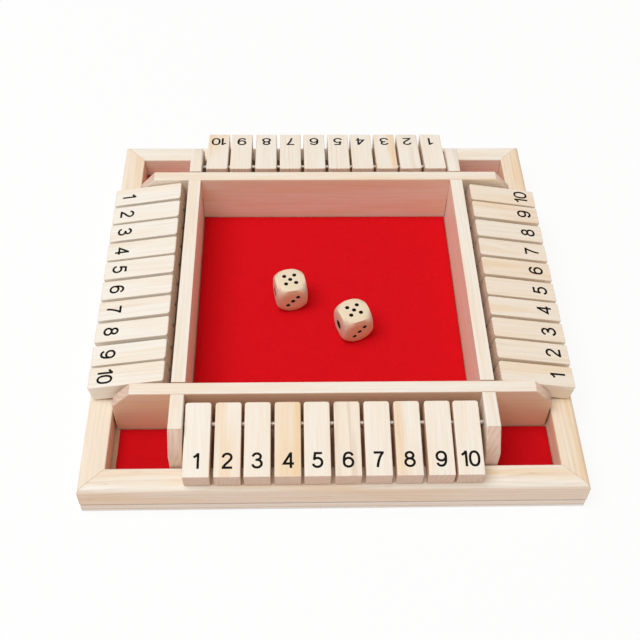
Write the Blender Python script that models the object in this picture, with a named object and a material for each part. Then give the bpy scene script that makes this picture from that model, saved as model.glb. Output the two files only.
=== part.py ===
"""A four-player wooden number-tile board game with a felt tray, hinged tiles on rods and two dice.

Lengths are metres and +Z is up. The origin is the centre of the base panel's underside, and the
front side, nearest the photograph's viewer, faces -Y. Every side is the front side turned about Z.
"""

import math

import bmesh
import bpy
from mathutils import Matrix, Vector

# Shared clearances and overruns
SEAT_GAP = 0.0003
CUT_OVERRUN = 0.001

# Base panel
PANEL_THICKNESS = 0.007
PANEL_EASE = 0.0006

# Tray and the well outside each tray wall
TRAY_SIDE = 0.1688
WELL_DEPTH = 0.0355

# Tray walls, which run on past their crossings as cheeks
WALL_THICKNESS = 0.008
WALL_HEIGHT = 0.0355
WALL_END_GAP = 0.0011
WALL_CHAMFER_RUN = 0.011
WALL_CHAMFER_DROP = 0.012
WALL_EASE = 0.0008

# Outer rails
RAIL_WIDTH = 0.0146
RAIL_HEIGHT = 0.0145
RAIL_OUTER_ROUND = 0.0035
RAIL_INNER_ROUND = 0.001
RAIL_FOOT_EASE = 0.0004

# Felt
FELT_THICKNESS = 0.0012
FELT_MARGIN = 0.0005
POCKET_BARE_STRIP = 0.003

# Hinge rods
ROD_DIAMETER = 0.003
ROD_OUT = 0.0146
ROD_DROP = 0.0092
ROD_SOCKET_DEPTH = 0.005
ROD_CHAMFER = 0.0003
ROD_CLEARANCE = 0.0003

# Number tiles
TILE_LENGTH = 0.0451
TILE_WIDTH = 0.0147
TILE_THICKNESS = 0.0119
TILE_EASE = 0.0006
TILE_END_EASE = 0.0003
TILE_HEEL = 0.011
TILE_HEEL_ROUND = 0.0016
TILE_COUNT = 10

# Dice
DIE_SIDE = 0.02
DIE_SPHERE_DIAMETER = 0.0274
DIE_ROUNDING = 24
PIP_SPACING = 0.00325
PIP_DIAMETER = 0.0028
PIP_DEPTH = 0.0005
BIG_PIP_DIAMETER = 0.0061

# Facets of round work
ROD_FACETS = 24
BORE_FACETS = 16
PIP_FACETS = 12
BIG_PIP_FACETS = 20
ROUND_STEPS = 5
HEEL_ROUND_STEPS = 3
SMALL_ROUND_STEPS = 2
DIE_CUTS = 9
SMOOTH_ANGLE = math.radians(35)

# How the free room along a rod is shared out, from the cheek beside tile 1 to the cheek beside tile 10
TILE_GAP_SHARES = (0.041, 0.102, 0.077, 0.094, 0.073, 0.101, 0.096, 0.101, 0.123, 0.069, 0.123)

# Share of the bare strip that each corner pocket's felt leaves along its own side's rail
BARE_STRIP_SHARES = (0, 0, 0, 1)

# Where each die lies, as shares of half the tray, with its turn about Z
DIE_PLACE_SHARES = ((-0.289, 0.076), (0.181, -0.229))
DIE_TURNS = (math.radians(10.5), math.radians(20.7))

# Pips of each face in steps of the pip spacing, and the turn that brings the top face there
PIP_STEP_SHARES = {
    1: ((0, 0),),
    2: ((-1, -1), (1, 1)),
    3: ((-1, -1), (0, 0), (1, 1)),
    4: ((-1, -1), (-1, 1), (1, -1), (1, 1)),
    5: ((-1, -1), (-1, 1), (0, 0), (1, -1), (1, 1)),
    6: ((-1, -1), (-1, 0), (-1, 1), (1, -1), (1, 0), (1, 1)),
}
QUARTER = math.pi / 2
FACE_TURNS = {
    5: Matrix.Identity(4),
    2: Matrix.Rotation(2 * QUARTER, 4, "X"),
    3: Matrix.Rotation(QUARTER, 4, "X"),
    4: Matrix.Rotation(-QUARTER, 4, "X"),
    1: Matrix.Rotation(-QUARTER, 4, "Y"),
    6: Matrix.Rotation(QUARTER, 4, "Y"),
}

# The four sides in turn about Z, each with the corner pocket at its right-hand end
SIDES = ("front", "right", "back", "left")
POCKETS = ("front_right", "back_right", "back_left", "front_left")

# Places worked out from the sizes above, all in the front side's own frame
TRAY_HALF = TRAY_SIDE / 2
WALL_OUT = TRAY_HALF + WALL_THICKNESS
RAIL_IN = WALL_OUT + WELL_DEPTH
PANEL_HALF = RAIL_IN + RAIL_WIDTH
FLOOR_TOP = PANEL_THICKNESS + SEAT_GAP
RAIL_TOP = FLOOR_TOP + RAIL_HEIGHT
WALL_TOP = FLOOR_TOP + WALL_HEIGHT
FELT_TOP = FLOOR_TOP + FELT_THICKNESS
ROD_PLACE = WALL_OUT + ROD_OUT
ROD_LEVEL = WALL_TOP - ROD_DROP


def tile_rest_slope():
    """The angle at which a tile's underside lies on the rail's outer rounding, falling outwards."""
    across = PANEL_HALF - RAIL_OUTER_ROUND - ROD_PLACE
    down = ROD_LEVEL - (RAIL_TOP - RAIL_OUTER_ROUND)
    reach = TILE_THICKNESS / 2 + RAIL_OUTER_ROUND + SEAT_GAP
    return math.acos(reach / math.hypot(across, down)) - math.atan2(across, down)


def clear_scene():
    for obj in list(bpy.data.objects):
        bpy.data.objects.remove(obj, do_unlink=True)


def make_material(name, color, roughness, metallic=0.0):
    material = bpy.data.materials.new(name)
    material.use_nodes = True
    shader = material.node_tree.nodes["Principled BSDF"]
    shader.inputs["Base Color"].default_value = (*color, 1.0)
    shader.inputs["Roughness"].default_value = roughness
    shader.inputs["Metallic"].default_value = metallic
    return material


def add_object(name, mesh, material=None, parent=None):
    obj = bpy.data.objects.new(name, mesh)
    bpy.context.scene.collection.objects.link(obj)
    obj.parent = parent
    if material:
        mesh.materials.clear()
        mesh.materials.append(material)
    return obj


def as_cutter(obj):
    obj.hide_render = True
    obj.display_type = "WIRE"
    return obj


def mesh_from(bm, name):
    bmesh.ops.recalc_face_normals(bm, faces=bm.faces)
    mesh = bpy.data.meshes.new(name)
    bm.to_mesh(mesh)
    bm.free()
    return mesh


def add_boolean(obj, cutter, operation="DIFFERENCE"):
    modifier = obj.modifiers.new(cutter.name, "BOOLEAN")
    modifier.operation = operation
    modifier.solver = "EXACT"
    modifier.object = cutter


def finished_mesh(obj):
    """The mesh of an object with its modifiers applied, smooth apart from its sharp edges."""
    bpy.context.view_layer.update()
    graph = bpy.context.evaluated_depsgraph_get()
    mesh = bpy.data.meshes.new_from_object(obj.evaluated_get(graph))
    mesh.shade_smooth()
    mesh.set_sharp_from_angle(angle=SMOOTH_ANGLE)
    return mesh


def box_bmesh(low, high):
    """A box between two corners."""
    bm = bmesh.new()
    bmesh.ops.create_cube(bm, size=1)
    size = [b - a for a, b in zip(low, high)]
    middle = [(a + b) / 2 for a, b in zip(low, high)]
    bmesh.ops.scale(bm, vec=size, verts=bm.verts)
    bmesh.ops.translate(bm, vec=middle, verts=bm.verts)
    return bm


def ease(bm, edges, offset, steps=1):
    """Rounds edges over, or chamfers them in one step."""
    bmesh.ops.bevel(bm, geom=edges, offset=offset, segments=steps, affect="EDGES", profile=0.5)


def cylinder_bmesh(diameter, length, facets, matrix):
    """A closed cylinder centred on the origin along Z, then moved by the matrix."""
    bm = bmesh.new()
    bmesh.ops.create_cone(
        bm,
        cap_ends=True,
        segments=facets,
        radius1=diameter / 2,
        radius2=diameter / 2,
        depth=length,
        matrix=matrix,
    )
    return bm


def arc(centre, radius, start, end, steps):
    """Points of an arc about centre, from angle start to angle end."""
    points = []
    for step in range(steps + 1):
        angle = start + (end - start) * step / steps
        points.append((centre[0] + radius * math.cos(angle), centre[1] + radius * math.sin(angle)))
    return points


def make_base_panel(material):
    half = PANEL_HALF
    bm = box_bmesh((-half, -half, 0), (half, half, PANEL_THICKNESS))
    ease(bm, bm.edges[:], PANEL_EASE)
    add_object("base_panel", mesh_from(bm, "base_panel"), material)


def rail_section():
    """The rail's section as (distance from the panel's centre, height), counter-clockwise."""
    out_centre = (PANEL_HALF - RAIL_OUTER_ROUND, RAIL_TOP - RAIL_OUTER_ROUND)
    in_centre = (RAIL_IN + RAIL_INNER_ROUND, RAIL_TOP - RAIL_INNER_ROUND)
    points = [(RAIL_IN, FLOOR_TOP)]
    points.append((PANEL_HALF - RAIL_FOOT_EASE, FLOOR_TOP))
    points.append((PANEL_HALF, FLOOR_TOP + RAIL_FOOT_EASE))
    points += arc(out_centre, RAIL_OUTER_ROUND, 0, QUARTER, ROUND_STEPS)
    points += arc(in_centre, RAIL_INNER_ROUND, QUARTER, 2 * QUARTER, SMALL_ROUND_STEPS)
    return points


def rail_mesh():
    """The front rail: its section swept between two mitres."""
    bm = bmesh.new()
    section = rail_section()
    mitre_gap = SEAT_GAP / math.sqrt(2)
    rings = []
    for side in (-1, 1):
        ring = [bm.verts.new((side * (out - mitre_gap), -out, height)) for out, height in section]
        bm.faces.new(ring)
        rings.append(ring)
    for index in range(len(section)):
        after = (index + 1) % len(section)
        bm.faces.new((rings[0][index], rings[0][after], rings[1][after], rings[1][index]))
    return mesh_from(bm, "rail")


def notch(centre, bottom, top):
    """The four outline points of a notch, from left to right, cut from bottom level to top level."""
    half = WALL_THICKNESS / 2 + SEAT_GAP
    return [(centre - half, bottom), (centre - half, top), (centre + half, top), (centre + half, bottom)]


def wall_outline(notch_in_top):
    """The wall's outline points from left to right, along its top edge and along its bottom edge."""
    end = RAIL_IN - WALL_END_GAP
    crossing = TRAY_HALF + WALL_THICKNESS / 2
    middle = (FLOOR_TOP + WALL_TOP) / 2
    left_end = [(-end, WALL_TOP - WALL_CHAMFER_DROP), (-end + WALL_CHAMFER_RUN, WALL_TOP)]
    right_end = [(-x, z) for x, z in reversed(left_end)]
    top = list(left_end)
    bottom = [(-end, FLOOR_TOP)]
    for centre in (-crossing, crossing):
        if notch_in_top:
            top += notch(centre, WALL_TOP, middle - SEAT_GAP / 2)
        else:
            bottom += notch(centre, FLOOR_TOP, middle + SEAT_GAP / 2)
    top += right_end
    bottom.append((end, FLOOR_TOP))
    return top, bottom


def eased_wall_edges(bm):
    """The wall's long edges along its top, its chamfers and its ends, clear of the notches."""
    lowest = WALL_TOP - WALL_CHAMFER_DROP - SEAT_GAP
    end = RAIL_IN - WALL_END_GAP - SEAT_GAP
    chosen = []
    for edge in bm.edges:
        ends = [vert.co for vert in edge.verts]
        along = abs(ends[0].y - ends[1].y) < SEAT_GAP
        in_notch = all(abs(abs(co.x) - TRAY_HALF) < 2 * WALL_THICKNESS for co in ends)
        on_top = min(co.z for co in ends) > lowest
        on_end = min(co.x for co in ends) > end or max(co.x for co in ends) < -end
        if along and not in_notch and (on_top or on_end):
            chosen.append(edge)
    return chosen


def wall_mesh(notch_in_top):
    """The front wall: an outline extruded through its thickness, with its outer edges eased."""
    top, bottom = wall_outline(notch_in_top)
    outline = top + bottom[::-1]
    bm = bmesh.new()
    faces = []
    for out in (WALL_OUT, TRAY_HALF):
        faces.append([bm.verts.new((x, -out, z)) for x, z in outline])
    bm.faces.new(faces[0])
    bm.faces.new(faces[1])
    for index in range(len(outline)):
        after = (index + 1) % len(outline)
        bm.faces.new((faces[0][index], faces[0][after], faces[1][after], faces[1][index]))
    ease(bm, eased_wall_edges(bm), WALL_EASE, SMALL_ROUND_STEPS)
    return mesh_from(bm, "wall")


def socket_cutter_mesh():
    """The two blind rod sockets of a wall, which open on its tray side."""
    bm = bmesh.new()
    length = ROD_SOCKET_DEPTH + CUT_OVERRUN
    out = TRAY_HALF + ROD_SOCKET_DEPTH - length / 2
    for side in (-1, 1):
        place = Matrix.Translation((side * ROD_PLACE, -out, ROD_LEVEL))
        bmesh.ops.create_cone(
            bm,
            cap_ends=True,
            segments=BORE_FACETS,
            radius1=ROD_DIAMETER / 2 + ROD_CLEARANCE,
            radius2=ROD_DIAMETER / 2 + ROD_CLEARANCE,
            depth=length,
            matrix=place @ Matrix.Rotation(QUARTER, 4, "X"),
        )
    return mesh_from(bm, "rod_socket_cutter")


def make_wall(side, turn, cutter_mesh, material):
    """A tray wall. The front and back ones lap over the others at the four crossings."""
    notch_in_top = side in ("left", "right")
    wall = add_object("wall_" + side, wall_mesh(notch_in_top), material, turn)
    cutter = as_cutter(add_object("rod_socket_cutter_" + side, cutter_mesh, parent=turn))
    add_boolean(wall, cutter)


def rod_mesh():
    """A hinge rod along X, with chamfered ends."""
    length = 2 * (TRAY_HALF + ROD_SOCKET_DEPTH - SEAT_GAP)
    bm = cylinder_bmesh(ROD_DIAMETER, length, ROD_FACETS, Matrix.Rotation(QUARTER, 4, "Y"))
    rims = [edge for edge in bm.edges if abs(edge.verts[0].co.x - edge.verts[1].co.x) < SEAT_GAP]
    ease(bm, rims, ROD_CHAMFER)
    mesh = mesh_from(bm, "rod")
    mesh.shade_smooth()
    mesh.set_sharp_from_angle(angle=SMOOTH_ANGLE)
    return mesh


def tile_blank_bmesh():
    """A tile with a crisp outer end and a heel whose upright edges are well rounded."""
    half = TILE_WIDTH / 2
    thick = TILE_THICKNESS / 2
    end = TILE_HEEL - TILE_LENGTH
    bm = box_bmesh((-half, end, -thick), (half, TILE_HEEL, thick))

    def level(edge, axis):
        """The middle of an edge along an axis, or None where the edge isn't square to the axis."""
        first, second = (vert.co[axis] for vert in edge.verts)
        return (first + second) / 2 if abs(first - second) < SEAT_GAP else None

    def is_at(edge, axis, place):
        found = level(edge, axis)
        return found is not None and abs(found - place) < SEAT_GAP

    upright = [edge for edge in bm.edges if is_at(edge, 1, TILE_HEEL) and level(edge, 2) is None]
    ease(bm, upright, TILE_HEEL_ROUND, HEEL_ROUND_STEPS)
    flat = [edge for edge in bm.edges if is_at(edge, 2, thick) or is_at(edge, 2, -thick)]
    ease(bm, [edge for edge in flat if not is_at(edge, 1, end)], TILE_EASE, SMALL_ROUND_STEPS)
    ease(bm, [edge for edge in bm.edges if is_at(edge, 1, end)], TILE_END_EASE)
    return bm


def tile_mesh():
    """A tile about its hinge axis, which runs along X, with its outer end towards -Y."""
    bm = tile_blank_bmesh()
    blank = as_cutter(add_object("tile_blank", mesh_from(bm, "tile_blank")))
    diameter = ROD_DIAMETER + 2 * ROD_CLEARANCE
    length = TILE_WIDTH + 2 * CUT_OVERRUN
    bore = cylinder_bmesh(diameter, length, BORE_FACETS, Matrix.Rotation(QUARTER, 4, "Y"))
    add_boolean(blank, as_cutter(add_object("tile_bore_cutter", mesh_from(bore, "tile_bore"))))
    return finished_mesh(blank)


def tile_places():
    """The middle of each tile along its rod, from tile 1 on."""
    free_room = TRAY_SIDE - TILE_COUNT * TILE_WIDTH
    edge = -TRAY_HALF
    places = []
    for index in range(TILE_COUNT):
        edge += free_room * TILE_GAP_SHARES[index]
        places.append(edge + TILE_WIDTH / 2)
        edge += TILE_WIDTH
    return places


def felt_mesh(name, low, high):
    """A flat sheet of felt between two corners of the floor."""
    bm = box_bmesh((*low, FLOOR_TOP), (*high, FELT_TOP))
    return mesh_from(bm, name)


def make_felts(turns, material):
    half = TRAY_HALF - FELT_MARGIN
    add_object("tray_felt", felt_mesh("tray_felt", (-half, -half), (half, half)), material)
    for pocket, turn, strip_share in zip(POCKETS, turns, BARE_STRIP_SHARES):
        near = WALL_OUT + FELT_MARGIN
        far = RAIL_IN - FELT_MARGIN
        low = (near, -far + strip_share * (POCKET_BARE_STRIP - FELT_MARGIN))
        name = "pocket_felt_" + pocket
        add_object(name, felt_mesh(name, low, (far, -near)), material, turn)


def pip_cutter_mesh():
    """All the pips of a die as one cutter: short cylinders sunk in each face."""
    bm = bmesh.new()
    for value, turn in FACE_TURNS.items():
        diameter = BIG_PIP_DIAMETER if value == 1 else PIP_DIAMETER
        facets = BIG_PIP_FACETS if value == 1 else PIP_FACETS
        for across, along in PIP_STEP_SHARES[value]:
            level = DIE_SIDE / 2 + (CUT_OVERRUN - PIP_DEPTH) / 2
            place = Matrix.Translation((across * PIP_SPACING, along * PIP_SPACING, level))
            bmesh.ops.create_cone(
                bm,
                cap_ends=True,
                segments=facets,
                radius1=diameter / 2,
                radius2=diameter / 2,
                depth=CUT_OVERRUN + PIP_DEPTH,
                matrix=turn @ place,
            )
    return mesh_from(bm, "pip_cutter")


def die_blank_bmesh():
    """A cube tumbled with a sphere's roundness: its flats run softly into its rounded edges and corners."""
    bm = bmesh.new()
    bmesh.ops.create_cube(bm, size=DIE_SIDE)
    bmesh.ops.subdivide_edges(bm, edges=bm.edges, cuts=DIE_CUTS, use_grid_fill=True)
    half = DIE_SIDE / 2
    for vert in bm.verts:
        ray = Vector([math.tan(place / half * QUARTER / 2) for place in vert.co]).normalized()
        pull = sum((abs(part) / half) ** DIE_ROUNDING for part in ray)
        pull += (2 / DIE_SPHERE_DIAMETER) ** DIE_ROUNDING
        vert.co = ray * pull ** (-1 / DIE_ROUNDING)
    bmesh.ops.triangulate(bm, faces=bm.faces)
    return bm


def die_mesh():
    """A rounded die with sunk pips."""
    blank = as_cutter(add_object("die_blank", mesh_from(die_blank_bmesh(), "die_blank")))
    pips = as_cutter(add_object("die_pip_cutter", pip_cutter_mesh()))
    add_boolean(blank, pips)
    return finished_mesh(blank)


def make_dice(material):
    mesh = die_mesh()
    for index, (place, turn) in enumerate(zip(DIE_PLACE_SHARES, DIE_TURNS)):
        die = add_object(f"die_{index + 1}", mesh, material)
        level = FELT_TOP + SEAT_GAP + DIE_SIDE / 2
        die.location = (place[0] * TRAY_HALF, place[1] * TRAY_HALF, level)
        die.rotation_euler = (0, 0, turn)


def make_side(side, turn, meshes, materials):
    """One side of the board: its rail, wall, rod and tiles, in the side's own turn."""
    add_object("rail_" + side, meshes["rail"], materials["pine"], turn)
    make_wall(side, turn, meshes["sockets"], materials["pine"])
    rod = add_object("rod_" + side, meshes["rod"], materials["steel"], turn)
    rod.location = (0, -ROD_PLACE, ROD_LEVEL)
    slope = tile_rest_slope()
    for number, place in enumerate(tile_places(), start=1):
        tile = add_object(f"tile_{side}_{number}", meshes["tile"], materials["tile_pine"], turn)
        tile.location = (place, -ROD_PLACE, ROD_LEVEL)
        tile.rotation_euler = (slope, 0, 0)


def main():
    clear_scene()
    materials = {
        "pine": make_material("pine", (0.87, 0.72, 0.52), 0.55),
        "tile_pine": make_material("tile_pine", (0.93, 0.82, 0.64), 0.5),
        "plywood": make_material("plywood", (0.80, 0.66, 0.48), 0.6),
        "felt": make_material("felt", (0.68, 0.01, 0.02), 0.95),
        "steel": make_material("steel", (0.72, 0.72, 0.73), 0.25, 1.0),
        "die_wood": make_material("die_wood", (0.90, 0.80, 0.62), 0.45),
    }
    meshes = {
        "rail": rail_mesh(),
        "sockets": socket_cutter_mesh(),
        "rod": rod_mesh(),
        "tile": tile_mesh(),
    }
    turns = []
    for quarter, side in enumerate(SIDES):
        turn = bpy.data.objects.new("side_" + side, None)
        bpy.context.scene.collection.objects.link(turn)
        turn.rotation_euler = (0, 0, quarter * QUARTER)
        turns.append(turn)
    make_base_panel(materials["plywood"])
    make_felts(turns, materials["felt"])
    for side, turn in zip(SIDES, turns):
        make_side(side, turn, meshes, materials)
    make_dice(materials["die_wood"])


main()
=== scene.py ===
"""The looks of the four-player number-tile dice board game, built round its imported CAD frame.

Lengths are in metres and angles in degrees. The board lies on the floor, with its front towards -Y.
"""

import math
import random

import bmesh
import bpy
from mathutils import Matrix, Vector, noise


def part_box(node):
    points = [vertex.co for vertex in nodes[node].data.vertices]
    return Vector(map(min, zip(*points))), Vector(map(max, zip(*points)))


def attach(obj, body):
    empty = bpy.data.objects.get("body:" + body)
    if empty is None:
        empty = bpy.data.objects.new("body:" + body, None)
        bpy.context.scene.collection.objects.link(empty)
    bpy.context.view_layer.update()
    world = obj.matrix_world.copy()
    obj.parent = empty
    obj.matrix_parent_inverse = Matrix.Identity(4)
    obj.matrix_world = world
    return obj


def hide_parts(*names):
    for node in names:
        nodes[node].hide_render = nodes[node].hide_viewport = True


MM = 0.001
MERGE_DISTANCE = 0.001 * MM

# The camera at the photograph's viewing angle
CAMERA_PLACE = (-0.023245, -0.430097, 0.515500)
CAMERA_DOWN = 50.364
CAMERA_YAW = 2.435
CAMERA_ROLL = 1.549
CAMERA_LENS = 57.602
CAMERA_SENSOR = 36.0

# Light
WORLD_LEVEL = 0.48
WORLD_TINT = (1.0, 0.87, 0.77)
KEY_AZIMUTH = 200.0
KEY_ELEVATION = 69.0
KEY_DISTANCE = 4.0
KEY_SIZE = 3.4
KEY_POWER = 102.0
KEY_TINT = (1.0, 1.09, 1.17)
FLOOR_SIZE = 8.0
FLOOR_GLOW = 0.86
FLOOR_ALBEDO = 0.93

# The players' sides, each a quarter turn further round
SIDES = ("front", "right", "back", "left")
TILES_PER_SIDE = 10

# Finishes, as plain colours in linear light
PALE_PINE = (0.92, 0.87, 0.775)
WARM_PINE = (0.87, 0.61, 0.34)
PALE_DIE = (0.85, 0.72, 0.53)
PINE_LINE = (0.50, 0.27, 0.14)
PINE_END = (0.74, 0.54, 0.43)
# Painted shade: the darker, warmer tone laid on upright faces for the shade they get
SIDE_SHADE_TONE = (0.79, 0.47, 0.29)
PLY_PALE = (0.93, 0.88, 0.83)
PLY_TAN = (0.88, 0.79, 0.70)
PLY_CORE = (0.90, 0.76, 0.64)
PLY_GLUE = (0.34, 0.20, 0.13)
# The plywood's faces: a warm wood tone, made darker as painted shade for the gaps between and under
# the tiles
PLY_FACE_AND_GAP_SHADE = (0.64, 0.42, 0.28)
FELT_RED = (0.75, 0.0040, 0.0085)
# Painted shade: the pocket felts' red darkened for the shade of the walls round the pockets
POCKET_FELT_SHADE = 0.84
INK_BLACK = (0.004, 0.003, 0.002)
INK_WORN = (0.012, 0.009, 0.007)
STEEL = (0.58, 0.52, 0.48)
STEEL_DULL = (0.44, 0.38, 0.34)
GLUE_DEEP = (0.80, 0.64, 0.47)
GLUE_PALE = (0.88, 0.76, 0.60)

# Pine: how far rings waver, how unevenly it is warm, how strong its fibres and its end grain's
# speckle are, and the plain width of a ring
RING_WAVER = 0.0075
UNEVEN_WARMTH = 0.55
FIBRE_SHARE = 0.24
SPECKLE_SHARE = 0.30
RING_WIDTH = 0.0024

# Plywood: the levels of the glue lines and of the core, as shares of the thickness
LOWER_GLUE = 0.385
UPPER_GLUE = 0.76
CORE_FROM = (0.36, 0.40)
CORE_TO = (0.74, 0.78)

# Edges sharper than these angles stay sharp in the shading
SHARP_FROM = 46.0
DIE_SHARP_FROM = 50.0
ROD_SHARP_FROM = 40.0

# Faces lie in one plane when their normals' dot product is above this
FLAT_DOT = 0.9999

# Paint in the dice's pips: (share of the radius, share of the depth) from the wall to the middle
PIP_PAINT = ((0.985, 0.80), (0.93, 0.74), (0.80, 0.45), (0.55, 0.24), (0.28, 0.15), (0.0, 0.13))
PIP_PAINT_LIFT = 0.02 * MM
LARGE_PIP_RADIUS = 2 * MM
LARGE_PIP_STEPS = 32
PIP_STEPS = 20

# Printed numbers
DIGIT_HEIGHT = 0.0092
DIGIT_CENTRE_FROM_END = 0.0094
DIGIT_STROKE_SHARE = 0.152
DIGIT_PROUD = 0.03 * MM
DIGIT_SUNK = 0.03 * MM
DIGIT_GAP_SHARE = 0.075
CURVE_STEPS = 9

# Felt
FELT_GRID = 0.0035
FELT_WAVE = 0.10 * MM
FELT_WAVE_RATE = 45
FELT_EDGE_WAVE = 0.20 * MM
FELT_EDGE_RATE = 160
FELT_ROUND = 0.35 * MM
FELT_RIM_SHARE = 0.55

# Looks of the wood. A board has all of these. A tile has those from the second on, and where it
# has no ring width, it gets the plain one.
# The first, side, is painted shade: how far a piece's upright faces turn to the darker, warmer side
# tone.
LOOK_KEYS = ("side", "warmth", "streak", "rings", "flecks", "ring_width")
BOARD_LOOKS = {
    "rail_front": (0.34, 0.12, 0.45, 0.20, 0.5, 0.0022),
    "rail_right": (0.12, 0.42, 0.45, 0.20, 0.2, 0.0030),
    "rail_back": (0.06, 0.06, 0.20, 0.10, 0.1, 0.0030),
    "rail_left": (0.12, 0.36, 0.35, 0.12, 0.1, 0.0030),
    "wall_front": (0.78, 0.07, 0.25, 0.10, 0.1, 0.0028),
    "wall_right": (0.14, 0.06, 0.30, 0.12, 0.2, 0.0026),
    "wall_back": (0.06, 0.20, 0.30, 0.10, 0.1, 0.0028),
    "wall_left": (0.14, 0.12, 0.25, 0.10, 0.1, 0.0030),
}
TILE_LOOKS = {
    "front_1": (0.10, 0.05, 0.03, 0.0),
    "front_2": (0.07, 0.55, 0.04, 0.1),
    "front_3": (0.18, 0.10, 0.04, 0.0),
    "front_4": (0.46, 0.35, 0.10, 0.0),
    "front_5": (0.14, 0.10, 0.05, 0.1),
    "front_6": (0.24, 0.20, 0.30, 0.5, 0.0021),
    "front_7": (0.15, 0.15, 0.04, 0.0),
    "front_8": (0.14, 0.50, 0.10, 0.1),
    "front_9": (0.12, 0.15, 0.06, 0.6),
    "front_10": (0.12, 0.15, 0.05, 0.1),
    "right_6": (0.35, 0.30, 0.12, 0.1),
    "back_3": (0.12, 0.60, 0.08, 0.1),
    "back_10": (0.12, 0.55, 0.08, 0.1),
}
ROW_WARMTH = {"front": 0.10, "right": 0.20, "back": 0.06, "left": -0.05}
# How much painted shade each row's upright faces take
ROW_SIDE_SHADE = {"front": 0.60, "right": 0.06, "back": 0.30, "left": 0.0}
# The dice's side is painted shade on their upright faces
DIE_LOOK = {"warmth": 0.02, "streak": 0.12, "rings": 0.07, "flecks": 0.0, "side": 0.65}

# Glue films in the rails' mitres
GLUE_FILM = 0.26 * MM
GLUE_INSET = 0.18 * MM
GLUE_ROUND = 3.35 * MM
GLUE_ROUND_STEPS = 6

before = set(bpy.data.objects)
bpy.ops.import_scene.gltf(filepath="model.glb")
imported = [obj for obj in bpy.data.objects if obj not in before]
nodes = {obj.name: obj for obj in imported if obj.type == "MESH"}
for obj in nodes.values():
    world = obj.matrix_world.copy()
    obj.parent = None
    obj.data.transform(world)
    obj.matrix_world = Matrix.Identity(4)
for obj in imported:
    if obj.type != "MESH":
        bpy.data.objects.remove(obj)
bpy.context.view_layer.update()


class Graph:
    """Adds nodes to a node tree. An input is a socket to link from, or a value to set."""

    def __init__(self, tree):
        self.tree = tree
        tree.nodes.clear()

    def add(self, kind, inputs=(), **settings):
        node = self.tree.nodes.new(kind)
        for name, value in settings.items():
            setattr(node, name, value)
        for key, value in dict(inputs).items():
            if isinstance(value, bpy.types.NodeSocket):
                self.tree.links.new(value, node.inputs[key])
            else:
                node.inputs[key].default_value = value
        return node

    def math(self, operation, *values, clamp=False):
        inputs = enumerate(values)
        node = self.add("ShaderNodeMath", inputs, operation=operation, use_clamp=clamp)
        return node.outputs[0]

    def vector(self, operation, *values):
        node = self.add("ShaderNodeVectorMath", enumerate(values), operation=operation)
        scalar = operation in ("DOT_PRODUCT", "LENGTH")
        return node.outputs["Value" if scalar else "Vector"]

    def scaled(self, vector, factor):
        inputs = {"Vector": vector, "Scale": factor}
        return self.add("ShaderNodeVectorMath", inputs, operation="SCALE").outputs["Vector"]

    def noise(self, vector, scale, detail=2.0, roughness=0.5):
        inputs = {"Vector": vector, "Scale": scale, "Detail": detail, "Roughness": roughness}
        return self.add("ShaderNodeTexNoise", inputs).outputs["Fac"]

    def step(self, value, low, high, start=0.0, end=1.0):
        """A smooth step of value from low to high."""
        inputs = {0: value, 1: low, 2: high, 3: start, 4: end}
        return self.add("ShaderNodeMapRange", inputs, interpolation_type="SMOOTHSTEP").outputs[0]

    def mix(self, factor, a, b):
        inputs = {0: factor, 6: a, 7: b}
        return self.add("ShaderNodeMix", inputs, data_type="RGBA").outputs[2]


def rgba(colour):
    return (*colour, 1.0)


def new_material(name):
    material = bpy.data.materials.new(name)
    material.use_nodes = True
    return material, Graph(material.node_tree)


def finish_surface(graph, inputs, height=None, bump=0.0, relief=0.1 * MM):
    """Ends a material in one Principled shader, with a bump where there is a height."""
    if height is not None:
        bumped = {"Height": height, "Strength": bump, "Distance": relief}
        inputs["Normal"] = graph.add("ShaderNodeBump", bumped).outputs["Normal"]
    shader = graph.add("ShaderNodeBsdfPrincipled", inputs)
    graph.add("ShaderNodeOutputMaterial", {"Surface": shader.outputs["BSDF"]})


# Camera, world, lamp and floor


def make_camera():
    down, yaw, roll = (math.radians(a) for a in (CAMERA_DOWN, CAMERA_YAW, CAMERA_ROLL))
    reach = math.cos(down)
    forward = Vector((math.sin(yaw) * reach, math.cos(yaw) * reach, -math.sin(down)))
    level_right = forward.cross(Vector((0, 0, 1))).normalized()
    level_up = level_right.cross(forward)
    right = math.cos(roll) * level_right + math.sin(roll) * level_up
    up = right.cross(forward)
    data = bpy.data.cameras.new("photo_camera")
    data.lens, data.sensor_width = CAMERA_LENS, CAMERA_SENSOR
    data.clip_start, data.clip_end = 0.01, 50.0
    camera = bpy.data.objects.new("photo_camera", data)
    bpy.context.scene.collection.objects.link(camera)
    turn = Matrix((right, up, -forward)).transposed().to_4x4()
    camera.matrix_world = Matrix.Translation(CAMERA_PLACE) @ turn
    bpy.context.scene.camera = camera


def rays_that_see_white(graph):
    """1 for the rays that see the plain white backdrop, 0 for those that only bring light."""
    path = graph.add("ShaderNodeLightPath").outputs
    seen = graph.math("MAXIMUM", path["Is Camera Ray"], path["Is Glossy Ray"])
    return graph.math("MAXIMUM", seen, path["Is Transmission Ray"])


def make_world():
    world = bpy.data.worlds.new("studio")
    world.use_nodes = True
    graph = Graph(world.node_tree)
    white = rays_that_see_white(graph)
    level = graph.step(white, 0.0, 1.0, WORLD_LEVEL, 1.0)
    tint = graph.mix(white, rgba(WORLD_TINT), (1, 1, 1, 1))
    background = graph.add("ShaderNodeBackground", {"Color": tint, "Strength": level})
    graph.add("ShaderNodeOutputWorld", {"Surface": background.outputs[0]})
    bpy.context.scene.world = world


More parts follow.
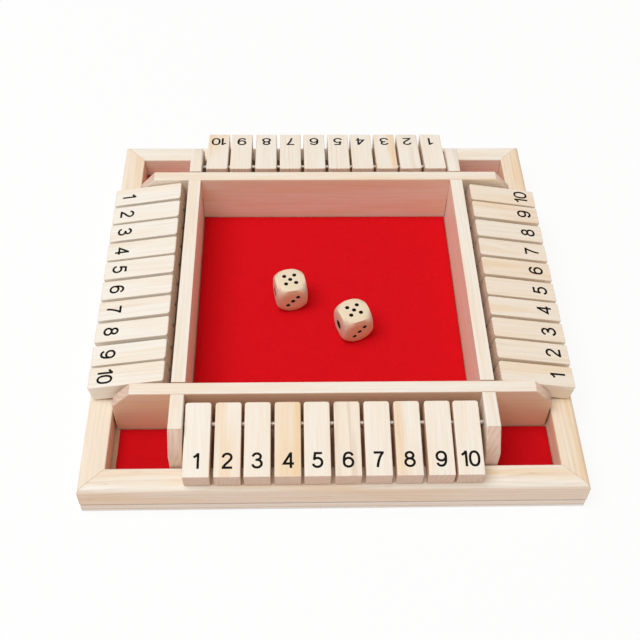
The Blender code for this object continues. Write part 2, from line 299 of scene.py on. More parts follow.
def make_key_light():
    data = bpy.data.lights.new("key", "AREA")
    data.shape, data.size, data.energy, data.color = "DISK", KEY_SIZE, KEY_POWER, KEY_TINT
    light = bpy.data.objects.new("key", data)
    bpy.context.scene.collection.objects.link(light)
    azimuth, elevation = math.radians(KEY_AZIMUTH), math.radians(KEY_ELEVATION)
    reach = math.cos(elevation)
    away = Vector((math.cos(azimuth) * reach, math.sin(azimuth) * reach, math.sin(elevation)))
    light.location = away * KEY_DISTANCE
    light.rotation_mode = "QUATERNION"
    light.rotation_quaternion = away.to_track_quat("Z", "Y")


def make_floor():
    bm = bmesh.new()
    bmesh.ops.create_grid(bm, x_segments=1, y_segments=1, size=FLOOR_SIZE / 2)
    mesh = bpy.data.meshes.new("floor")
    bm.to_mesh(mesh)
    bm.free()
    floor = bpy.data.objects.new("floor", mesh)
    bpy.context.scene.collection.objects.link(floor)
    material, graph = new_material("floor")
    diffuse = graph.add("ShaderNodeBsdfDiffuse", {"Color": rgba((FLOOR_ALBEDO,) * 3)})
    glow = graph.add("ShaderNodeEmission", {"Color": (1, 1, 1, 1), "Strength": 1.0})
    share = graph.math("MULTIPLY", rays_that_see_white(graph), FLOOR_GLOW)
    mixed = graph.add("ShaderNodeMixShader", {0: share, 1: diffuse.outputs[0], 2: glow.outputs[0]})
    graph.add("ShaderNodeOutputMaterial", {"Surface": mixed.outputs[0]})
    mesh.materials.append(material)


# Wood


def make_pine_group():
    """The pattern of sawn pine in a space whose X runs along the grain, for every wooden piece."""
    group = bpy.data.node_groups.new("pine", "ShaderNodeTree")
    graph = Graph(group)
    sockets = {
        "Place": "Vector",
        "Heart": "Vector",
        "End Share": "Float",
        "Ring Width": "Float",
        "Rings": "Float",
        "Warmth": "Float",
        "Streak": "Float",
        "Flecks": "Float",
        "Side Shade Share": "Float",
        "Side": "Color",
        "Pale": "Color",
        "Warm": "Color",
        "Line": "Color",
        "End": "Color",
    }
    for name, kind in sockets.items():
        group.interface.new_socket(name, in_out="INPUT", socket_type=f"NodeSocket{kind}")
    for name, kind in {"Color": "Color", "Roughness": "Float", "Height": "Float"}.items():
        group.interface.new_socket(name, in_out="OUTPUT", socket_type=f"NodeSocket{kind}")
    given = graph.add("NodeGroupInput").outputs
    place = given["Place"]

    def along(stretch):
        return graph.vector("MULTIPLY", place, (1 / stretch, 1.0, 1.0))

    # Growth rings round the heart, wavering along the piece
    waver = graph.math("SUBTRACT", graph.noise(along(7), 70.0, 2.0), 0.5)
    from_heart = graph.vector("SUBTRACT", place, given["Heart"])
    distance = graph.vector("LENGTH", graph.vector("MULTIPLY", from_heart, (0.0, 1.0, 1.0)))
    wavered = graph.math("MULTIPLY_ADD", waver, RING_WAVER, distance)
    turns = graph.math("DIVIDE", wavered, given["Ring Width"])
    phase = graph.math("FRACT", turns)
    rise, fall = graph.step(phase, 0.30, 0.90), graph.step(phase, 0.90, 1.0, 1.0, 0.0)
    late = graph.math("MULTIPLY", rise, fall)
    strength = graph.noise(along(9), 190.0, 1.0)
    late = graph.math("MULTIPLY", late, graph.step(strength, 0.25, 0.75, 0.25, 1.0))
    # Long fibres, short dark flecks and broad warm streaks
    fine = graph.noise(along(26), 2600.0, 3.0, 0.6)
    coarse = graph.noise(along(22), 800.0, 2.0)
    fleck = graph.step(graph.noise(along(13), 1050.0, 1.0), 0.66, 0.80)
    patch = graph.step(graph.noise(along(4), 95.0, 1.0), 0.45, 0.70)
    fleck = graph.math("MULTIPLY", graph.math("MULTIPLY", fleck, patch), given["Flecks"])
    broad = graph.step(graph.noise(along(11), 105.0, 1.0), 0.42, 0.66)
    warmth = graph.math("MULTIPLY_ADD", broad, given["Streak"], given["Warmth"])
    uneven = graph.math("SUBTRACT", coarse, 0.5)
    warmth = graph.math("MULTIPLY_ADD", uneven, UNEVEN_WARMTH, warmth, clamp=True)
    colour = graph.mix(warmth, given["Pale"], given["Warm"])
    # Painted shade: upright faces mix towards the darker, warmer side tone
    colour = graph.mix(given["Side Shade Share"], colour, given["Side"])
    line = graph.math("MULTIPLY_ADD", late, given["Rings"], fleck)
    fibre = graph.math("MULTIPLY", graph.math("SUBTRACT", fine, 0.42), FIBRE_SHARE)
    line = graph.math("ADD", line, fibre, clamp=True)
    colour = graph.mix(line, colour, given["Line"])
    # End grain: darker, with the rings plain and a fine speckle
    speckle = graph.math("SUBTRACT", graph.noise(place, 3600.0, 2.0, 0.7), 0.42)
    end_rings = graph.math("MULTIPLY", late, graph.math("MULTIPLY_ADD", given["Rings"], 1.2, 0.30))
    end_line = graph.math("MULTIPLY_ADD", speckle, SPECKLE_SHARE, end_rings, clamp=True)
    end_colour = graph.mix(end_line, given["End"], given["Line"])
    share = given["End Share"]
    colour = graph.mix(share, colour, end_colour)
    roughness = graph.math("MULTIPLY_ADD", coarse, 0.18, 0.36)
    roughness = graph.math("MULTIPLY_ADD", share, 0.20, roughness)
    height = graph.math("MULTIPLY_ADD", line, -0.9, fine)
    graph.add("NodeGroupOutput", {"Color": colour, "Roughness": roughness, "Height": height})
    return group


def grain_axes(along, through):
    """The grain space's axes as a matrix: along the grain, across it, and through the piece."""
    along, through = Vector(along).normalized(), Vector(through)
    across = through.cross(along).normalized()
    return Matrix((along, across, along.cross(across))).transposed()


def face_normal(graph):
    """The flat face's own normal in the piece's space, so that it turns with the piece."""
    true_normal = graph.add("ShaderNodeNewGeometry").outputs["True Normal"]
    settings = {"vector_type": "NORMAL", "convert_from": "WORLD", "convert_to": "OBJECT"}
    return graph.add("ShaderNodeVectorTransform", {"Vector": true_normal}, **settings).outputs[0]


def grain_space(graph, origin, axes):
    """The point in the piece's grain space, and the surface's shares of end grain and of painted
    side shade, which grows as a face turns upright.
    """
    coordinates = graph.add("ShaderNodeTexCoord").outputs
    placed = {"Vector": coordinates["Object"], "Location": origin, "Rotation": axes.to_euler()}
    place = graph.add("ShaderNodeMapping", placed, vector_type="TEXTURE").outputs[0]
    normal = face_normal(graph)
    facing = graph.vector("DOT_PRODUCT", normal, tuple(axes.col[0]))
    upward = graph.vector("DOT_PRODUCT", normal, tuple(axes.col[2]))
    end_share = graph.step(graph.math("ABSOLUTE", facing), 0.25, 0.65)
    side_shade_share = graph.step(graph.math("ABSOLUTE", upward), 0.25, 0.85, 1.0, 0.0)
    return place, end_share, side_shade_share


def wood(name, origin, axes, seed, look, pale=PALE_PINE):
    """Sawn and sanded pine, cut from its own place in the tree. A look's side paints shade on the
    upright faces, darker and warmer.
    """
    rng = random.Random(seed)
    angle, reach = rng.uniform(0, math.tau), rng.uniform(0.018, 0.060)
    heart = Vector((0.0, reach * math.cos(angle), reach * math.sin(angle)))
    cut = Vector((rng.uniform(-3, 3), rng.uniform(-0.2, 0.2), rng.uniform(-0.2, 0.2)))
    material, graph = new_material(name)
    place, end_share, side_shade_share = grain_space(graph, origin, axes)
    moved = graph.vector("ADD", place, tuple(cut))
    values = {
        "Place": moved,
        "Heart": tuple(cut + heart),
        "End Share": end_share,
        "Ring Width": look.get("ring_width", RING_WIDTH),
        "Rings": look["rings"],
        "Warmth": look["warmth"],
        "Side Shade Share": graph.math("MULTIPLY", side_shade_share, look["side"]),
        "Streak": look["streak"],
        "Flecks": look["flecks"],
        "Pale": rgba(pale),
        "Warm": rgba(WARM_PINE),
        "Line": rgba(PINE_LINE),
        "End": rgba(PINE_END),
        "Side": rgba(SIDE_SHADE_TONE),
    }
    group = graph.add("ShaderNodeGroup", values, node_tree=pine_group)
    surface = {
        "Base Color": group.outputs["Color"],
        "Roughness": group.outputs["Roughness"],
        "Specular IOR Level": 0.35,
    }
    finish_surface(graph, surface, group.outputs["Height"], 0.25, 0.12 * MM)
    return material


def plywood(name):
    """Three plies with dark glue lines at the edges, and faces above and below, warm-toned and
    darkened as painted shade for the gaps under the tiles.
    """
    low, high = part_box("base_panel")
    thick = high.z - low.z
    material, graph = new_material(name)
    place = graph.add("ShaderNodeTexCoord").outputs["Object"]
    level = graph.add("ShaderNodeSeparateXYZ", {0: place}).outputs["Z"]
    height = graph.math("DIVIDE", level, thick)
    uneven = graph.noise(graph.vector("MULTIPLY", place, (1.0, 1.0, 0.0)), 60.0, 3.0)
    height = graph.math("MULTIPLY_ADD", graph.math("SUBTRACT", uneven, 0.5), 0.07, height)
    above, below = graph.step(height, *CORE_FROM), graph.step(height, *CORE_TO, 1.0, 0.0)
    core = graph.math("MULTIPLY", above, below)

    def glue_line(middle, solid, faded, strength):
        distance = graph.math("ABSOLUTE", graph.math("SUBTRACT", height, middle))
        return graph.step(distance, solid, faded, strength, 0.0)

    glue_low = glue_line(LOWER_GLUE, 0.010, 0.035, 0.85)
    glue_high = glue_line(UPPER_GLUE, 0.008, 0.030, 0.35)
    glue = graph.math("MAXIMUM", glue_low, glue_high)
    upright = graph.add("ShaderNodeSeparateXYZ", {0: face_normal(graph)}).outputs["Z"]
    face = graph.step(graph.math("ABSOLUTE", upright), 0.5, 0.9)
    edge = graph.math("SUBTRACT", 1.0, face)
    long_grain = graph.noise(graph.vector("MULTIPLY", place, (1 / 24, 1.0, 1.0)), 900.0, 3.0, 0.6)
    cross_grain = graph.noise(graph.vector("MULTIPLY", place, (1.0, 1 / 24, 1.0)), 1500.0, 3.0, 0.6)
    broad = graph.noise(graph.vector("MULTIPLY", place, (1 / 9, 1.0, 1.0)), 60.0, 2.0)
    pale = graph.mix(graph.step(broad, 0.35, 0.7), rgba(PLY_PALE), rgba(PLY_TAN))
    pale = graph.mix(graph.step(long_grain, 0.50, 0.85, 0.0, 0.25), pale, rgba(PINE_LINE))
    inner = graph.mix(graph.step(cross_grain, 0.4, 0.8, 0.0, 0.25), rgba(PLY_CORE), rgba(PINE_LINE))
    colour = graph.mix(graph.math("MULTIPLY", core, edge), pale, inner)
    colour = graph.mix(graph.math("MULTIPLY", glue, edge), colour, rgba(PLY_GLUE))
    lines = graph.step(long_grain, 0.40, 0.80, 0.0, 0.5)
    # The faces: grain lines on a tone darkened as painted shade for the gaps
    faces_and_gap_shade = graph.mix(lines, rgba(PLY_FACE_AND_GAP_SHADE), rgba(PINE_LINE))
    colour = graph.mix(face, colour, faces_and_gap_shade)
    surface = {"Base Color": colour, "Roughness": 0.62, "Specular IOR Level": 0.3}
    finish_surface(graph, surface, long_grain, 0.25, 0.15 * MM)
    return material


def smooth_edges(node, sharp_from):
    """Shades a CAD node's small roundings smoothly and keeps its flat faces flat."""
    key = f"smooth_{sharp_from:g}"
    group = bpy.data.node_groups.get(key)
    if group is None:
        group = bpy.data.node_groups.new(key, "GeometryNodeTree")
        graph = Graph(group)
        group.interface.new_socket("Geometry", in_out="INPUT", socket_type="NodeSocketGeometry")
        group.interface.new_socket("Geometry", in_out="OUTPUT", socket_type="NodeSocketGeometry")
        shape = graph.add("NodeGroupInput").outputs[0]
        inputs = {"Geometry": shape, "Distance": MERGE_DISTANCE}
        shape = graph.add("GeometryNodeMergeByDistance", inputs).outputs[0]
        inputs = {"Geometry": shape, "Shade Smooth": True}
        shape = graph.add("GeometryNodeSetShadeSmooth", inputs, domain="FACE").outputs[0]
        angle = graph.add("GeometryNodeInputMeshEdgeAngle").outputs["Unsigned Angle"]
        inputs = {0: angle, 1: math.radians(sharp_from)}
        compare = {"data_type": "FLOAT", "operation": "GREATER_THAN"}
        sharp = graph.add("FunctionNodeCompare", inputs, **compare).outputs[0]
        inputs = {"Geometry": shape, "Selection": sharp, "Shade Smooth": False}
        shape = graph.add("GeometryNodeSetShadeSmooth", inputs, domain="EDGE").outputs[0]
        graph.add("NodeGroupOutput", {0: shape})
    node.modifiers.new("smooth", "NODES").node_group = group
    weighted = node.modifiers.new("flat_faces", "WEIGHTED_NORMAL")
    weighted.keep_sharp = True


def dress(name, material, sharp_from=SHARP_FROM):
    node = nodes[name]
    node.material_slots[0].material = material
    smooth_edges(node, sharp_from)


def outward(turn):
    """The direction from the board's centre to the side of that quarter turn."""
    return Matrix.Rotation(turn * math.pi / 2, 3, "Z") @ Vector((0, -1, 0))


def top_of(name):
    """The flat face of a node that looks up most: its normal and its corners."""
    faces = nodes[name].data.polygons
    best = max((f for f in faces if f.normal.z > 0.5), key=lambda f: f.area)
    normal = best.normal.copy()
    points = [
        nodes[name].data.vertices[v].co.copy()
        for f in faces
        if f.normal.dot(normal) > FLAT_DOT
        for v in f.vertices
    ]
    return normal, points


def make_wood_looks():
    up = Vector((0, 0, 1))
    for turn, side in enumerate(SIDES):
        out = outward(turn)
        lengthwise = grain_axes(out.cross(up), up)
        for kind, seed in (("rail", 40 * turn), ("wall", 40 * turn + 7)):
            name = f"{kind}_{side}"
            low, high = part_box(name)
            look = dict(zip(LOOK_KEYS, BOARD_LOOKS[name]))
            dress(name, wood(name, (low + high) / 2, lengthwise, seed, look))
        for number in range(1, TILES_PER_SIDE + 1):
            name = f"tile_{side}_{number}"
            normal, points = top_of(name)
            slope = (out - out.dot(normal) * normal).normalized()
            middle = sum(points, Vector()) / len(points)
            axes = grain_axes(slope, normal)
            dress(name, wood(name, middle, axes, 100 * turn + number, tile_look(turn, number)))


def tile_look(turn, number):
    """A tile's grain: its own where the photograph shows one, or else quiet and varying."""
    side = SIDES[turn]
    look = {"side": ROW_SIDE_SHADE[side]}
    own = TILE_LOOKS.get(f"{side}_{number}")
    if own:
        return look | dict(zip(LOOK_KEYS[1:], own))
    rng = random.Random(1000 + 100 * turn + number)
    return look | {
        "warmth": rng.uniform(0.0, 0.10) + ROW_WARMTH[side],
        "streak": rng.uniform(0.05, 0.30),
        "rings": rng.uniform(0.05, 0.18),
        "flecks": rng.choice((0.0, 0.1, 0.3)),
        "ring_width": rng.uniform(0.0020, 0.0032),
    }


# Dice


def recesses(name):
    """A die's round recesses, each as its floor's centre, its normal, its radius and its depth."""
    bm = bmesh.new()
    bm.from_mesh(nodes[name].data)
    bmesh.ops.remove_doubles(bm, verts=bm.verts, dist=MERGE_DISTANCE)
    found, seen = [], set()
    for start in bm.faces:
        if start in seen:
            continue
        seen.add(start)
        floor, walls = [start], []
        for face in floor:
            for edge in face.edges:
                other = next(f for f in edge.link_faces if f is not face)
                if other.normal.dot(start.normal) < FLAT_DOT:
                    walls.append((edge, other))
                elif other not in seen:
                    seen.add(other)
                    floor.append(other)
        rim = {v for edge, _ in walls for v in edge.verts}
        tops = [v.co for _, wall in walls for v in wall.verts if v not in rim]
        middle = sum((v.co for v in rim), Vector()) / len(rim)
        heights = [(top - middle).dot(start.normal) for top in tops]
        upright = all(abs(wall.normal.dot(start.normal)) < 0.05 for _, wall in walls)
        if upright and min(heights, default=0.0) > 0.0:
            radius = sum((v.co - middle).length for v in rim) / len(rim)
            found.append((middle, start.normal.copy(), radius, min(heights)))
    bm.free()
    return found


def lathe(bm, profile, steps, matrix):
    """A closed solid turned about Z, from (radius, height) points that end on the axis."""
    rings = []
    for radius, height in profile:
        if radius == 0.0:
            rings.append([bm.verts.new(matrix @ Vector((0, 0, height)))])
            continue
        angles = [math.tau * i / steps for i in range(steps)]
        ring = [Vector((radius * math.cos(a), radius * math.sin(a), height)) for a in angles]
        rings.append([bm.verts.new(matrix @ p) for p in ring])
    for lower, upper in zip(rings, rings[1:]):
        for i in range(steps):
            j = (i + 1) % steps
            corners = (
                lower[i % len(lower)],
                lower[j % len(lower)],
                upper[j % len(upper)],
                upper[i % len(upper)],
            )
            unique = list(dict.fromkeys(corners))
            if len(unique) > 2:
                bm.faces.new(unique)


def add_piece(name, bm, material, body, smooth=True):
    bmesh.ops.recalc_face_normals(bm, faces=bm.faces)
    mesh = bpy.data.meshes.new(name)
    bm.to_mesh(mesh)
    bm.free()
    return add_mesh(name, mesh, material, body, smooth)


def add_mesh(name, mesh, material, body, smooth=False):
    piece = bpy.data.objects.new(name, mesh)
    bpy.context.scene.collection.objects.link(piece)
    mesh.polygons.foreach_set("use_smooth", [smooth] * len(mesh.polygons))
    if not mesh.materials:
        mesh.materials.append(material)
    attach(piece, body)
    return piece


def dish_profile(radius, depth):
    """Paint that fills a drilled pip as a shallow dish, thin at the middle, higher at the wall."""
    foot = [(0.0, PIP_PAINT_LIFT), (PIP_PAINT[0][0] * radius, PIP_PAINT_LIFT)]
    return foot + [(across * radius, up * depth) for across, up in PIP_PAINT]


def make_dice(ink):
    for number in (1, 2):
        name = f"die_{number}"
        low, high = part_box(name)
        pips = recesses(name)
        side = min((normal for _, normal, _, _ in pips), key=lambda n: n.x)
        axes = grain_axes(side, Vector((0, 0, 1)))
        material = wood(name, (low + high) / 2, axes, 900 + number, DIE_LOOK, PALE_DIE)
        dress(name, material, DIE_SHARP_FROM)
        bm = bmesh.new()
        for middle, normal, radius, depth in pips:
            place = Matrix.Translation(middle) @ normal.to_track_quat("Z", "Y").to_matrix().to_4x4()
            steps = LARGE_PIP_STEPS if radius > LARGE_PIP_RADIUS else PIP_STEPS
            lathe(bm, dish_profile(radius, depth), steps, place)
        add_piece(f"pips_{name}", bm, ink, name)


# Printed numbers


def bezier(start, *segments):
    """Points along cubic curves: each segment is two handles and an end."""
    points, here = [Vector(start)], Vector(start)
    for first, second, end in segments:
        first, second, end = Vector(first), Vector(second), Vector(end)
        for i in range(1, CURVE_STEPS + 1):
            t = i / CURVE_STEPS
            u = 1 - t
            points.append(u**3 * here + 3 * u * u * t * first + 3 * u * t * t * second + t**3 * end)
        here = end
    return points


def oval(centre, across, along, power=2.25):
    """A closed oval, a little squarer than an ellipse."""
    points = []
    for i in range(4 * CURVE_STEPS):
        angle = math.tau * i / (4 * CURVE_STEPS)
        c, s = math.cos(angle), math.sin(angle)
        x = math.copysign(abs(c) ** (2 / power), c) * across
        y = math.copysign(abs(s) ** (2 / power), s) * along
        points.append(Vector((centre[0] + x, centre[1] + y)))
    return points


def six():
    hook = bezier(
        (0.585, 0.755),
        ((0.555, 0.880), (0.470, 0.941), (0.350, 0.941)),
        ((0.160, 0.941), (0.065, 0.770), (0.065, 0.480)),
        ((0.065, 0.430), (0.066, 0.380), (0.070, 0.330)),
    )
    return [(hook, False), (oval((0.336, 0.333), 0.270, 0.274, 2.1), True)]


def turned(strokes):
    """The strokes turned by half a turn about the middle of the digit's box."""
    return [([Vector((0.66, 1.0)) - p for p in points], closed) for points, closed in strokes]


def straight(*points):
    """An open stroke of straight stretches."""
    return [Vector(p) for p in points], False


def digit_strokes(digit):
    """A digit's centrelines in a box 1 high, each with whether it closes."""
    if digit == "0":
        return [(oval((0.33, 0.5), 0.270, 0.441, 2.3), True)]
    if digit == "1":
        flag = bezier((0.385, 0.985), ((0.330, 0.870), (0.230, 0.785), (0.115, 0.735)))
        return [straight((0.385, 0.0), (0.385, 1.0)), (flag, False)]
    if digit == "2":
        curve = bezier(
            (0.085, 0.700),
            ((0.095, 0.850), (0.190, 0.941), (0.335, 0.941)),
            ((0.480, 0.941), (0.585, 0.850), (0.585, 0.715)),
            ((0.585, 0.480), (0.190, 0.330), (0.105, 0.050)),
        )
        return [(curve, False), straight((0.028, 0.059), (0.645, 0.059))]
    if digit == "3":
        upper = bezier(
            (0.075, 0.745),
            ((0.105, 0.870), (0.190, 0.941), (0.310, 0.941)),
            ((0.450, 0.941), (0.545, 0.860), (0.545, 0.745)),
            ((0.545, 0.620), (0.450, 0.540), (0.235, 0.543)),
        )
        lower = bezier(
            (0.235, 0.543),
            ((0.480, 0.550), (0.600, 0.445), (0.600, 0.300)),
            ((0.600, 0.155), (0.480, 0.059), (0.320, 0.059)),
            ((0.180, 0.059), (0.085, 0.135), (0.066, 0.262)),
        )
        return [(upper, False), (lower, False)]
    if digit == "4":
        slant = straight((0.478, 0.965), (0.065, 0.285), (0.660, 0.285))
        return [slant, straight((0.478, 0.0), (0.478, 1.0))]
    if digit == "5":
        bar = straight((0.605, 0.934), (0.190, 0.934), (0.125, 0.515))
        bowl = bezier(
            (0.105, 0.500),
            ((0.160, 0.580), (0.235, 0.620), (0.330, 0.620)),
            ((0.490, 0.620), (0.600, 0.500), (0.600, 0.345)),
            ((0.600, 0.175), (0.480, 0.059), (0.320, 0.059)),
            ((0.185, 0.059), (0.085, 0.135), (0.066, 0.262)),
        )
        return [bar, (bowl, False)]
    if digit == "6":
        return six()
    if digit == "7":
        leg = bezier((0.590, 0.950), ((0.430, 0.760), (0.280, 0.400), (0.245, 0.0)))
        return [straight((0.035, 0.938), (0.640, 0.938)), (leg, False)]
    if digit == "8":
        upper = oval((0.33, 0.742), 0.222, 0.200, 2.0)
        lower = oval((0.33, 0.300), 0.270, 0.242, 2.0)
        return [(upper, True), (lower, True)]
    return turned(six())


def ribbon_mesh(points, closed, width, low, high):
    """A flat closed solid that follows a centreline with a constant width."""
    count = len(points)
    left, right = [], []
    for i, point in enumerate(points):
        before = points[i - 1] if closed or i else None
        after = points[(i + 1) % count] if closed or i < count - 1 else None
        ways = []
        if before is not None:
            ways.append((point - before).normalized())
        if after is not None:
            ways.append((after - point).normalized())
        way = sum(ways, Vector((0, 0))).normalized()
        side = Vector((-way.y, way.x))
        reach = width / 2 / max(side.dot(Vector((-ways[0].y, ways[0].x))), 0.5)
        left.append(point + side * reach)
        right.append(point - side * reach)
    bm = bmesh.new()
    low_left, low_right, high_left, high_right = (
        [bm.verts.new((*p, z)) for p in edge] for z in (low, high) for edge in (left, right)
    )
    for i in range(count if closed else count - 1):
        j = (i + 1) % count
        bm.faces.new((low_left[i], low_left[j], low_right[j], low_right[i]))
        bm.faces.new((high_right[i], high_right[j], high_left[j], high_left[i]))
        bm.faces.new((low_left[j], low_left[i], high_left[i], high_left[j]))
        bm.faces.new((low_right[i], low_right[j], high_right[j], high_right[i]))
    if not closed:
        bm.faces.new((low_left[0], low_right[0], high_right[0], high_left[0]))
        bm.faces.new((low_right[-1], low_left[-1], high_left[-1], high_right[-1]))
    bmesh.ops.recalc_face_normals(bm, faces=bm.faces)
    mesh = bpy.data.meshes.new("stroke")
    bm.to_mesh(mesh)
    bm.free()
    return mesh


def united(meshes):
    """One mesh from several closed ones, without what lies inside."""
    objects = [bpy.data.objects.new("stroke", mesh) for mesh in meshes]
    for o in objects:
        bpy.context.scene.collection.objects.link(o)
    for other in objects[1:]:
        join = objects[0].modifiers.new("join", "BOOLEAN")
        join.operation, join.solver, join.object = "UNION", "EXACT", other
    graph = bpy.context.evaluated_depsgraph_get()
    mesh = bpy.data.meshes.new_from_object(objects[0].evaluated_get(graph), depsgraph=graph)
    for o in objects:
        bpy.data.objects.remove(o)
    return mesh


def digit_mesh(digit):
    """A digit as a thin solid with its base line at 0 and its top at the digits' height."""
    width = DIGIT_STROKE_SHARE * DIGIT_HEIGHT
    parts = [
        ribbon_mesh([p * DIGIT_HEIGHT for p in points], closed, width, -DIGIT_SUNK, DIGIT_PROUD)
        for points, closed in digit_strokes(digit)
    ]
    return united(parts) if len(parts) > 1 else parts[0]


def number_meshes():
    """The numbers 1 to 10, each centred in its own box."""
    single = {digit: digit_mesh(digit) for digit in "0123456789"}
    made = {}
    for number in range(1, TILES_PER_SIDE + 1):
        bm = bmesh.new()
        start = 0.0
        for digit in str(number):
            before = len(bm.verts)
            bm.from_mesh(single[digit])
            bm.verts.ensure_lookup_table()
            new = bm.verts[before:]
            low = min(v.co.x for v in new)
            for v in new:
                v.co.x += start - low
            start = max(v.co.x for v in new) + DIGIT_GAP_SHARE * DIGIT_HEIGHT
        middle = (max(v.co.x for v in bm.verts) + min(v.co.x for v in bm.verts)) / 2
        for v in bm.verts:
            v.co.x -= middle
            v.co.y -= DIGIT_HEIGHT / 2
        mesh = bpy.data.meshes.new(f"number_{number}")
        bm.to_mesh(mesh)
        bm.free()
        made[number] = mesh
    return made


def make_numbers(ink):
    meshes = number_meshes()
    for turn, side in enumerate(SIDES):
        for number in range(1, TILES_PER_SIDE + 1):
            body = f"tile_{side}_{number}"
            normal, points = top_of(body)
            out = outward(turn)
            inward = -(out - out.dot(normal) * normal).normalized()
            across = inward.cross(normal)
            end = min(p.dot(inward) for p in points)
            middle = (max(p.dot(across) for p in points) + min(p.dot(across) for p in points)) / 2
            axes = Matrix((across, inward, normal)).transposed()
            place = axes @ Vector((middle, end + DIGIT_CENTRE_FROM_END, points[0].dot(normal)))
            mesh = meshes[number].copy()
            mesh.transform(Matrix.Translation(place) @ axes.to_4x4())
            add_mesh(f"number_{side}_{number}", mesh, ink, body)


def printed_ink():
    material, graph = new_material("number_ink")
    place = graph.add("ShaderNodeTexCoord").outputs["Object"]
    grit = graph.noise(place, 3000.0, 3.0, 0.6)
    colour = graph.mix(graph.step(grit, 0.45, 0.75), rgba(INK_BLACK), rgba(INK_WORN))
    roughness = graph.math("MULTIPLY_ADD", grit, 0.25, 0.50)
    surface = {"Base Color": colour, "Roughness": roughness, "Specular IOR Level": 0.08}
    finish_surface(graph, surface, grit, 0.1, 0.02 * MM)
    return material


# Felt, glue and rods


def felt_material(name, shade_factor):
    """Matted red fibres that run both ways. The shade factor is 1 in the tray and less in the
    pockets, where it darkens the red as painted shade.
    """
    material, graph = new_material(name)
    place = graph.add("ShaderNodeTexCoord").outputs["Object"]
    inputs = {"Vector": place, "Scale": 900.0, "Detail": 2.0}
    wander = graph.add("ShaderNodeTexNoise", inputs).outputs["Color"]
    bent = graph.vector("ADD", place, graph.scaled(wander, 0.0012))
    hairs_a = graph.noise(graph.vector("MULTIPLY", bent, (0.18, 1.0, 1.0)), 4200.0, 2.0, 0.6)
    hairs_b = graph.noise(graph.vector("MULTIPLY", bent, (1.0, 0.18, 1.0)), 4200.0, 2.0, 0.6)
    hairs = graph.math("MAXIMUM", hairs_a, hairs_b)
    cloud = graph.noise(place, 110.0, 3.0)
    red = shade_factor * Vector(FELT_RED)
    deep = (red.x * 0.80, red.y, red.z)
    light = (red.x * 1.12, red.y * 1.8, red.z * 1.5)
    patchy = graph.math("SUBTRACT", cloud, 0.5)
    shade = graph.math("MULTIPLY_ADD", patchy, 0.25, graph.step(hairs, 0.42, 0.78))
    colour = graph.mix(shade, rgba(deep), rgba(light))
    surface = {
        "Base Color": colour,
        "Roughness": 0.95,
        "Specular IOR Level": 0.05,
        "Sheen Weight": 0.05,
        "Sheen Roughness": 0.5,
        "Sheen Tint": (1.0, 0.25, 0.25, 1.0),
    }
    finish_surface(graph, surface, hairs, 0.5, 0.12 * MM)
    return material


def make_felt(name, material, seed):
    """A laid felt sheet in the CAD sheet's place, softly uneven, with slightly ragged cut edges."""
    low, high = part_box(name)
    size = high - low
    bm = bmesh.new()
    counts = [max(6, round(size[i] / FELT_GRID)) for i in (0, 1)]

    def spots(axis):
        first, reach = low[axis] + FELT_ROUND, size[axis] - 2 * FELT_ROUND
        inner = [first + reach * i / counts[axis] for i in range(counts[axis] + 1)]
        return [low[axis], *inner, high[axis]]

    xs, ys = spots(0), spots(1)
    grids = {}
    for level in ("top", "bottom"):
        for i, x in enumerate(xs):
            for j, y in enumerate(ys):
                rim = i in (0, len(xs) - 1) or j in (0, len(ys) - 1)
                if level == "bottom" and rim:
                    continue
                spot = Vector((x * FELT_WAVE_RATE + seed, y * FELT_WAVE_RATE, 0.3 * seed))
                wave = noise.noise(spot)
                z = low.z if level == "bottom" else high.z - (1 + wave) / 2 * FELT_WAVE
                if rim:
                    z = low.z + FELT_RIM_SHARE * size.z
                grids[level, i, j] = bm.verts.new((x, y, z))
    # The cut edge wanders inwards a little
    for (level, i, j), v in grids.items():
        along_x = i in (0, 1, len(xs) - 2, len(xs) - 1)
        along_y = j in (0, 1, len(ys) - 2, len(ys) - 1)
        spot = Vector((v.co.x * FELT_EDGE_RATE, v.co.y * FELT_EDGE_RATE, seed))
        wander = (1 + noise.noise(spot)) / 2 * FELT_EDGE_WAVE
        if along_x:
            v.co.x += wander if i < 2 else -wander
        if along_y:
            v.co.y += wander if j < 2 else -wander

    def at(level, i, j):
        return grids.get((level, i, j)) or grids["top", i, j]

    for i in range(len(xs) - 1):
        for j in range(len(ys) - 1):
            square = [(i, j), (i + 1, j), (i + 1, j + 1), (i, j + 1)]
            bm.faces.new([at("top", *c) for c in square])
            bm.faces.new([at("bottom", *c) for c in reversed(square)])
    felt = add_piece(f"{name}_sheet", bm, material, "board")
    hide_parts(name)


def make_felts():
    # The pockets' felt is darkened as painted shade
    pocket = felt_material("pocket_felt", POCKET_FELT_SHADE)
    make_felt("tray_felt", felt_material("tray_felt", 1.0), 10)
    for seed, name in enumerate(n for n in nodes if n.startswith("pocket_felt_")):
        make_felt(name, pocket, 11 + seed)


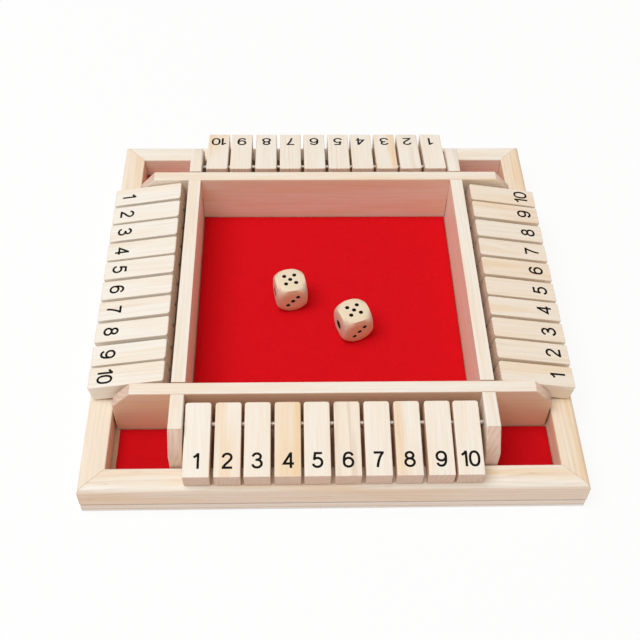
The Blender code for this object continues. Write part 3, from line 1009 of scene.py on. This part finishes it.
def make_mitre_glue():
    """A film of dried glue in each mitre of the outer rails, just below their surface."""
    material, graph = new_material("dried_glue")
    place = graph.add("ShaderNodeTexCoord").outputs["Object"]
    clouds = graph.noise(place, 400.0, 3.0)
    colour = graph.mix(clouds, rgba(GLUE_DEEP), rgba(GLUE_PALE))
    surface = {"Base Color": colour, "Roughness": 0.55, "Specular IOR Level": 0.3}
    finish_surface(graph, surface, clouds, 0.1, 0.05 * MM)
    front_low, front_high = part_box("rail_front")
    outer, inner = -front_low.y - GLUE_INSET, -front_high.y + GLUE_INSET
    low, high = front_low.z + GLUE_INSET, front_high.z - GLUE_INSET
    section = [(inner, low), (outer, low)]
    for step in range(GLUE_ROUND_STEPS + 1):
        angle = math.pi / 2 * step / GLUE_ROUND_STEPS
        back, down = 1 - math.cos(angle), 1 - math.sin(angle)
        section.append((outer - GLUE_ROUND * back, high - GLUE_ROUND * down))
    section.append((inner, high))
    for turn, side in enumerate(SIDES):
        spin = Matrix.Rotation(turn * math.pi / 2, 3, "Z")
        across = spin @ Vector((1, 1, 0)).normalized() * GLUE_FILM / 2
        bm = bmesh.new()
        faces = []
        for way in (-1, 1):
            corners = [spin @ Vector((out, -out, z)) + way * across for out, z in section]
            faces.append([bm.verts.new(corner) for corner in corners])
        bm.faces.new(faces[0])
        bm.faces.new(reversed(faces[1]))
        for i in range(len(section)):
            j = (i + 1) % len(section)
            bm.faces.new((faces[0][i], faces[1][i], faces[1][j], faces[0][j]))
        add_piece(f"mitre_glue_{side}", bm, material, "board", smooth=False)


def make_rods():
    material, graph = new_material("rod_steel")
    place = graph.add("ShaderNodeTexCoord").outputs["Object"]
    drawn = graph.noise(place, 1800.0, 2.0)
    colour = graph.mix(graph.step(drawn, 0.35, 0.7), rgba(STEEL), rgba(STEEL_DULL))
    roughness = graph.math("MULTIPLY_ADD", drawn, 0.20, 0.38)
    surface = {"Base Color": colour, "Metallic": 1.0, "Roughness": roughness}
    finish_surface(graph, surface, drawn, 0.08, 0.05 * MM)
    for side in SIDES:
        dress(f"rod_{side}", material, ROD_SHARP_FROM)


bpy.context.scene.view_settings.view_transform = "Standard"
make_camera()
make_world()
make_key_light()
make_floor()
pine_group = make_pine_group()
make_wood_looks()
dress("base_panel", plywood("base_plywood"))
ink_material = printed_ink()
make_dice(ink_material)
make_numbers(ink_material)
make_felts()
make_rods()
make_mitre_glue()
